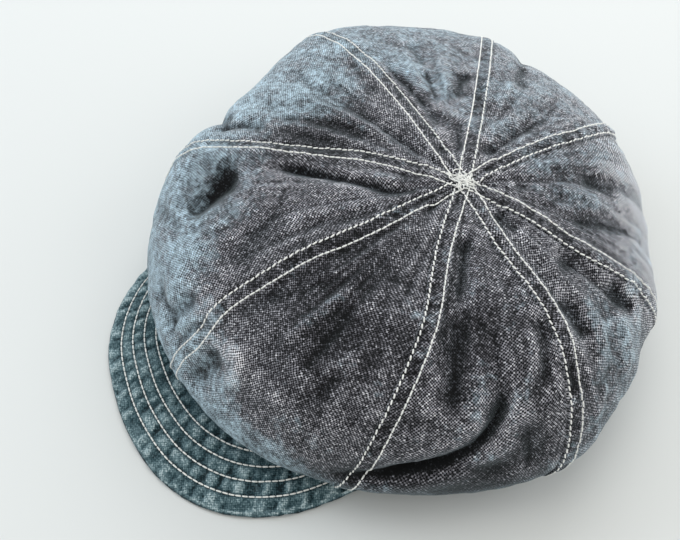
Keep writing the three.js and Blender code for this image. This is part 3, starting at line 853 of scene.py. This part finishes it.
# Peak
def peak_at(degrees):
    """How far the band and the peak's edge reach in a direction, and how far apart its rows lie there."""
    x = np.cos(np.radians(degrees)) / (BAND["half_width"] + PEAK_CLEAR)
    y = np.sin(np.radians(degrees)) / (BAND["half_length"] + PEAK_CLEAR)
    place = (degrees - PEAK["start"]) / PEAK["edge_turn"]
    last = len(PEAK_EDGE) - 1
    start = np.clip(np.floor(place).astype(int), 0, last - 1)
    a, b, c, d = (PEAK_EDGE[np.clip(start + step, 0, last)] for step in (-1, 0, 1, 2))
    edge = spline(a, b, c, d, place - start)
    spacing = 1 + PEAK["row_spread"] * smoothstep(degrees, SPREAD_FROM, SPREAD_TO)
    return 1 / np.hypot(x, y), edge, spacing


def peak_height(degrees, reach):
    """Height of the peak's upper face in a direction and at a reach, and its relief alone."""
    band, edge, spacing = peak_at(degrees)
    inwards = edge - reach
    share = np.clip(inwards / (edge - band), 0, 1)
    turn = np.radians(degrees) * PEAK_EDGE.mean()
    across = (inwards / spacing - PEAK["first_row"]) / PEAK["row_pitch"]
    strip = np.floor(across)
    gap = np.abs(across - np.clip(np.round(across), 0, PEAK["rows"] - 1)) * PEAK["row_pitch"]
    wave_long, wave_wide, wave_tall = PEAK["ripple"]
    slanted = turn / wave_long + RIPPLE_SLANT * inwards
    ripples = np.stack([slanted, inwards / wave_wide, strip * 5.3], axis=1)
    relief_height = wave_tall * noise(ripples, 1, 51)
    wave_long, wave_wide, wave_tall = PEAK["crimp"]
    crimps = np.stack([turn / wave_long, inwards / wave_wide, strip * 3.7], axis=1)
    relief_height += wave_tall * noise(crimps, 1, 53)
    least, away = PEAK["drawn"]
    relief_height *= least + (1 - least) * smoothstep(gap, 0, away)
    depth, width = PEAK["groove"]
    relief_height -= depth * np.exp(-((gap / width) ** 2))
    size, tall = PEAK["wave"]
    relief_height += tall * noise(np.stack([turn, reach, turn * 0], axis=1), size, 52)
    rounding = PEAK["rounding"]
    rim = np.clip(inwards, 0, rounding)
    relief_height -= rounding - np.sqrt(np.maximum(rounding**2 - (rounding - rim) ** 2, 0))
    height = PEAK["lift"] * share + PEAK["bow"] * np.sin(np.pi * share) + PEAK["thick"] + relief_height
    return height, relief_height


def peak_point(degrees, reach):
    height, relief_height = peak_height(degrees, reach)
    angle = np.radians(degrees)
    return np.column_stack([reach * np.cos(angle), reach * np.sin(angle), height]), relief_height


PEAK_GRID = (300, 76)
PEAK_UNDER = 0.6  # how much thinner its cloth is than the solid peak


def peak_cloth():
    columns, rows = PEAK_GRID

    def shape(across, down):
        degrees = PEAK["start"] + (PEAK["end"] - PEAK["start"]) * across
        band, edge, _ = peak_at(degrees)
        points, relief_height = peak_point(degrees, edge - (edge - band) * down)
        # from this relief the material darkens the ripples' hollows with painted shade
        close, broad = relief(relief_height, (rows + 1, columns + 1))
        outward = np.tile([0.0, 0.0, 1.0], (len(points), 1))
        return points, outward, points[:, :2].copy(), {"close": close, "broad": broad}

    return cloth_sheet("peak_cloth", columns, rows, shape, PEAK["thick"] - PEAK_UNDER)


PEAK_PITCH = 3.5
PEAK_STITCH = 3.3
ROW_CLEAR = 2.0  # a row ends this far before the band


def peak_stitches():
    net = bmesh.new()
    walk = np.linspace(PEAK["start"], PEAK["end"], 600)
    for row in range(PEAK["rows"]):
        inwards = PEAK["first_row"] + PEAK["row_pitch"] * row
        _, edge, spacing = peak_at(walk)
        path, _ = peak_point(walk, edge - inwards * spacing)
        length = np.concatenate([[0], np.cumsum(np.linalg.norm(np.diff(path, axis=0), axis=1))])
        for begin in np.arange(1.0, length[-1] - PEAK_PITCH, PEAK_PITCH):
            degrees = np.interp([begin, begin + PEAK_STITCH], length, walk)
            band, edge, spacing = peak_at(degrees)
            reach = edge - inwards * spacing
            if np.any(reach < band + ROW_CLEAR):
                continue
            start, end = to_frame(peak_point(degrees, reach)[0])
            add_stitch(net, start, end, (0, 0, 1), THREAD * MM, THREAD_SUNK["peak"] * MM)
    return finished("peak_stitches", mesh_of(net, "peak_stitches"))


# Headband
BAND_ROUNDING = 0.8
BAND_WAVES = (0.25, 14.0, 3.0)  # how deep, how large, and how many times taller than wide


def headband_cloth():
    net = bmesh.new()
    wide, wall, tall = BAND["half_width"], BAND["wall"], BAND["height"]
    corners = [(wide, 0), (wide, tall), (wide - wall, tall), (wide - wall, 0)]
    verts = [net.verts.new((x, 0, z)) for x, z in corners]
    for corner, vertex in enumerate(verts):
        net.edges.new((vertex, verts[(corner + 1) % 4]))
    bmesh.ops.bevel(net, geom=verts, offset=BAND_ROUNDING, segments=3, profile=0.5, affect="VERTICES",
        material=-1)
    long_edges = [edge for edge in net.edges if edge.calc_length() > tall / 2]
    bmesh.ops.subdivide_edges(net, edges=long_edges, cuts=12)
    bmesh.ops.spin(net, geom=net.verts[:] + net.edges[:], cent=(0, 0, 0), axis=(0, 0, 1), dvec=(0, 0, 0),
        angle=math.tau, steps=144, use_merge=True, use_duplicate=False)
    bmesh.ops.remove_doubles(net, verts=net.verts[:], dist=0.01)
    bmesh.ops.recalc_face_normals(net, faces=net.faces[:])
    mesh = mesh_of(net, "headband_cloth")
    points = points_of(mesh)
    turn = np.arctan2(points[:, 1], points[:, 0])
    height, size, stretch = BAND_WAVES
    waves = height * noise(points / (1, 1, stretch), size, 61)
    points[:, :2] *= (1 - np.abs(waves) / wide)[:, None]
    points[:, 1] *= BAND["half_length"] / wide
    mesh.vertices.foreach_set("co", to_frame(points).ravel())
    grain = np.column_stack([turn * wide, points[:, 2]])
    # the whole band is tinted teal all over as painted shade, for the shade it lies in under the crown
    mark(mesh, grain, {"close": waves, "shaded": np.ones(len(points))})
    return finished("headband_cloth", mesh)


# Materials
def linear(colour):
    """A sRGB hex colour as linear red, green, blue and alpha."""
    channels = [int(colour[i : i + 2], 16) / 255 for i in (1, 3, 5)]
    return [c / 12.92 if c <= 0.04045 else ((c + 0.055) / 1.055) ** 2.4 for c in channels] + [1.0]


def fill(tree, node, inputs):
    """Give each input a value, or a link from a socket or from a node's first output."""
    for key, source in inputs.items():
        if isinstance(source, bpy.types.Node):
            source = source.outputs[0]
        if isinstance(source, bpy.types.NodeSocket):
            tree.links.new(source, node.inputs[key])
        else:
            node.inputs[key].default_value = source


def add(tree, kind, inputs=(), **settings):
    """A new node with its settings and its inputs."""
    made = tree.nodes.new("ShaderNode" + kind)
    for key, value in settings.items():
        setattr(made, key, value)
    fill(tree, made, dict(inputs))
    return made


def set_ramp(ramp, stops):
    elements = ramp.color_ramp.elements
    while len(elements) > 1:
        elements.remove(elements[-1])
    elements[0].position, elements[0].color = stops[0][0], linear(stops[0][1])
    for position, colour in stops[1:]:
        elements.new(position).color = linear(colour)


def new_material(name):
    material = bpy.data.materials.new(name)
    material.use_nodes = True
    tree = material.node_tree
    return material, tree, tree.nodes["Principled BSDF"]


YARN = 0.8  # real yarns are about 0.35 mm apart; they are drawn this coarse so that they show
YARN_DRIFT = (11.11, 3.0)  # in waves of this size the yarns drift this far
SLUBS = ((4.545, 0.7407), (0.7407, 8.333))  # how far slubs reach along and across, in the weft and the warp
# How uneven washed cloth is: size, detail and roughness of its blotches, patches, specks and crinkles
UNEVEN = ((16.667, 4.0, 0.6), (3.846, 3.0, 0.65), (1.1765, 1.0, 0.5), (2.381, 3.0, 0.6))
YARN_RELIEF = 0.4


def woven_cloth(name, stops, worn_and_sheen, shade_tint, fade, wear_and_crease_shade, mottle, yarn):
    """Plain-woven yarn-dyed cotton, washed soft: dark warp, pale uneven weft, paler where it is scuffed and
    where painted sheen lights it, with painted shade in its hollows.

    It has its colours from dark to light, a paler one for scuffed places and for painted sheen, and a tint
    of painted shade for its hollows and under its rim. fade is how far it is paled everywhere, on ridges
    and where it has paled by fading and painted sheen, wear how much lighter small and broad ridges are and
    how much darker creases and hollows are with painted shade, mottle how patchy it is, and yarn how light
    the weft is, how much it varies, and how light the warp is.
    """
    material, tree, shader = new_material(name)

    def layered(base, *layers, clamp=False):
        """A value with a share of each layer added to it."""
        for layer, share in layers:
            base = add(tree, "Math", {0: layer, 1: share, 2: base}, operation="MULTIPLY_ADD")
        base.use_clamp = clamp
        return base

    grain = add(tree, "UVMap", uv_map="grain")
    wave, far = YARN_DRIFT
    drift = add(tree, "TexNoise", {"Vector": grain, "Scale": 1 / wave, "Detail": 2.0}).outputs["Color"]
    drift = add(tree, "VectorMath", {0: drift, 1: (0.5, 0.5, 0.5)}, operation="SUBTRACT")
    yarns = add(tree, "VectorMath", {0: drift, 1: (far, far, 0.0), 2: grain}, operation="MULTIPLY_ADD")
    count = add(tree, "Mapping", {"Vector": yarns, "Scale": (1 / YARN, 1 / YARN, 1)})
    cell = add(tree, "VectorMath", {0: count}, operation="FLOOR")
    column, row = add(tree, "SeparateXYZ", {0: cell}).outputs[:2]
    over = add(tree, "Math", {0: layered(row, (column, 1.0)), 1: 1.0}, operation="PINGPONG")
    fleck = add(tree, "TexWhiteNoise", {"Vector": cell}, noise_dimensions="2D")
    # patterns of slubs and of uneven cloth, each varying about nothing
    slubs = [add(tree, "Mapping", {"Vector": yarns, "Scale": (1 / x, 1 / y, 1)}) for x, y in SLUBS]
    patterns = [(slub, 1.0, 2.0, 0.7) for slub in slubs]
    place = add(tree, "TexCoord").outputs["Object"]
    patterns += [(place, 1 / (size * MM), detail, roughness) for size, detail, roughness in UNEVEN]
    varied = []
    for where, scale, detail, roughness in patterns:
        look = {"Vector": where, "Scale": scale, "Detail": detail, "Roughness": roughness}
        varied.append(layered(-0.5, (add(tree, "TexNoise", look), 1.0)))
    weft, warp, blotch, patch, speck, crinkle = varied
    read = [add(tree, "Attribute", attribute_name=key).outputs["Fac"] for key in CLOTH_VALUES]
    close, broad, fade_and_sheen, shaded, light_and_shade_tone, seam = read
    # how light each bit of yarn is
    weft_light, weft_varies, warp_light = yarn
    pale = layered(weft_light, (fleck, weft_varies))
    weave = layered(warp_light, (over, pale), (weft, 0.34), (warp, 0.22), (patch, mottle), (speck, 1.0))
    # lighter on scuffed ridges, darker in creases and hollows as painted shade
    worn_and_crease_shaded = layered(weave, (close, wear_and_crease_shade[0]), (broad, wear_and_crease_shade[1]), (seam, -0.13))
    # then lighter and darker by the painted light and shade of the patches
    light = layered(0.08, (worn_and_crease_shaded, 1.0), (light_and_shade_tone, 1.0), clamp=True)
    ramp = add(tree, "ValToRGB", {0: light})
    set_ramp(ramp, stops)
    # painted shade: teal in the hollows and under the edge, where shade falls
    low = layered(-0.08, (broad, -0.20), clamp=True)
    deep = add(tree, "Math", {0: low, 1: shaded}, operation="MAXIMUM", use_clamp=True)
    tint = {"Factor": deep, 6: ramp, 7: linear(shade_tint)}
    shade_tinted = add(tree, "Mix", tint, data_type="RGBA", blend_type="MULTIPLY").outputs[2]
    # paler and bluer where the cloth is scuffed, where it has paled by fading and where painted sheen
    # lights its rim, though its weave still shows;
    # the painted light and shade of the patches carry into it
    rubbed_and_sheen = layered(fade[0], (blotch, 1.5), (patch, 1.3), (broad, fade[1]), (fade_and_sheen, fade[2]), clamp=True)
    woven = layered(0.37, (weave, 1.25), (light_and_shade_tone, 1.25), (patch, 2.4), (blotch, 1.0))
    pale = add(tree, "VectorMath", {0: linear(worn_and_sheen)[:3], "Scale": woven}, operation="SCALE")
    veil = add(tree, "Mix", {"Factor": layered(0.0, (rubbed_and_sheen, 0.9)), 6: shade_tinted, 7: pale}, data_type="RGBA")
    # relief of the yarns and of small crinkles
    tall = layered(0.0, (light, 0.6), (crinkle, 1.4))
    bump = add(tree, "Bump", {"Height": tall, "Strength": 0.8, "Distance": YARN_RELIEF * MM})
    fill(tree, shader, {
        "Base Color": veil.outputs[2],
        "Normal": bump,
        "Roughness": 0.88,
        "Specular IOR Level": 0.2,
        "Sheen Weight": 0.5,
        "Sheen Roughness": 0.45,
        "Sheen Tint": linear("#bccbd2"),
    })
    return material


PLY = 1.111  # how far apart a thread's plies cross over
PLY_RELIEF = 0.1


def cotton_thread(name, stops):
    """Mercerised white cotton sewing thread, slightly glossy, a little grey where it is scuffed."""
    material, tree, shader = new_material(name)
    place = add(tree, "TexCoord").outputs["Object"]
    ply = add(tree, "TexNoise", {"Vector": place, "Scale": 1 / (PLY * MM), "Detail": 2.0})
    ramp = add(tree, "ValToRGB", {0: ply})
    set_ramp(ramp, stops)
    bump = add(tree, "Bump", {"Height": ply, "Strength": 0.5, "Distance": PLY_RELIEF * MM})
    fill(tree, shader, {"Base Color": ramp, "Normal": bump, "Roughness": 0.6, "Sheen Weight": 0.2})
    return material


# Its pale blue is for scuffed places and painted sheen at the rim, its teal tint for painted shade in
# hollows and under the rim
washed_chambray = woven_cloth(
    "washed_chambray_plain_weave",
    stops=[(0.0, "#020203"), (0.25, "#0e0d0f"), (0.5, "#4e4d53"), (0.75, "#a1a1a9"), (1.0, "#f2f2f7")],
    worn_and_sheen="#a5bac6",
    shade_tint="#6f98a1",
    fade=(-0.32, 0.2, 1.12),
    wear_and_crease_shade=(0.28, 0.03),
    mottle=0.10,
    yarn=(0.43, 0.28, 0.0),
)
# Its pale colour is for scuffed ridges and patches, its blue-grey tint for painted shade in the ripples'
# hollows
teal_chambray = woven_cloth(
    "washed_teal_chambray",
    stops=[(0.0, "#0f2024"), (0.25, "#284148"), (0.5, "#496066"), (0.75, "#6e868c"), (1.0, "#b8c9cc")],
    worn_and_sheen="#7c949b",
    shade_tint="#7f9fae",
    fade=(0.0, 0.1, 0.0),
    wear_and_crease_shade=(0.50, 0.15),
    mottle=0.4,
    yarn=(0.06, 0.24, 0.24),
)
white_thread = cotton_thread("white_cotton_thread", [(0.3, "#dcdfdc"), (0.6, "#fbfbf7")])

# The cap
for panel in range(len(SECTIONS) // 2):
    dress(crown_panel(2 * panel), washed_chambray, "chambray", f"crown_panel_{panel + 1}")
    dress(seam_stitches(2 * panel), white_thread, "cotton_thread")
dress(thread_tack(), white_thread, "cotton_thread", "crown_tack")
dress(peak_cloth(), teal_chambray, "peak_cloth", "peak")
dress(peak_stitches(), white_thread, "cotton_thread")
dress(headband_cloth(), washed_chambray, "chambray", "headband")

# Pale table with a matt white laminate top, which shows the cap's soft shadow and hardly any reflection
net = bmesh.new()
bmesh.ops.create_grid(net, x_segments=4, y_segments=4, size=1.6)
table_mesh = mesh_of(net, "pale_table")
table = finished("pale_table", table_mesh)
table_material, table_tree, table_shader = new_material("pale_table_top")
fill(table_tree, table_shader, {"Base Color": linear("#dee1e0"), "Roughness": 0.7})
table_mesh.materials.append(table_material)

# Camera at the photograph's angle
EYE = np.array([218.4, -222.35, 439.2])
SIGHT = Vector((-0.4329, 0.4181, -0.7986))
camera_data = bpy.data.cameras.new("camera")
camera_data.lens = 47.65
camera_data.clip_start = 0.01
camera = bpy.data.objects.new("camera", camera_data)
bpy.context.scene.collection.objects.link(camera)
camera.location = Vector(to_frame(EYE))
camera.rotation_euler = SIGHT.to_track_quat("-Z", "Y").to_euler()
bpy.context.scene.camera = camera


# Light
def soft_light(name, place, size, power, colour):
    data = bpy.data.lights.new(name, "AREA")
    data.shape = "DISK"
    data.size = size
    data.energy = power
    data.color = linear(colour)[:3]
    light = bpy.data.objects.new(name, data)
    light.location = place
    light.rotation_euler = (-Vector(place)).to_track_quat("-Z", "Y").to_euler()
    bpy.context.scene.collection.objects.link(light)


soft_light("window", (-1.75, -0.70, 1.10), 1.5, 12, "#dcecff")
soft_light("back_window", (-1.00, 1.60, 1.05), 1.8, 18, "#f8fbff")
soft_light("doorway", (1.30, 1.05, 1.20), 1.6, 7, "#fbfbff")
soft_light("ceiling", (-0.30, 0.25, 2.10), 1.6, 7, "#fffdf8")
world = bpy.data.worlds.new("pale_room")
world.use_nodes = True
background = world.node_tree.nodes["Background"]
fill(world.node_tree, background, {"Color": linear("#f1f1ee"), "Strength": 0.79})
bpy.context.scene.world = world
bpy.context.scene.view_settings.view_transform = "Standard"
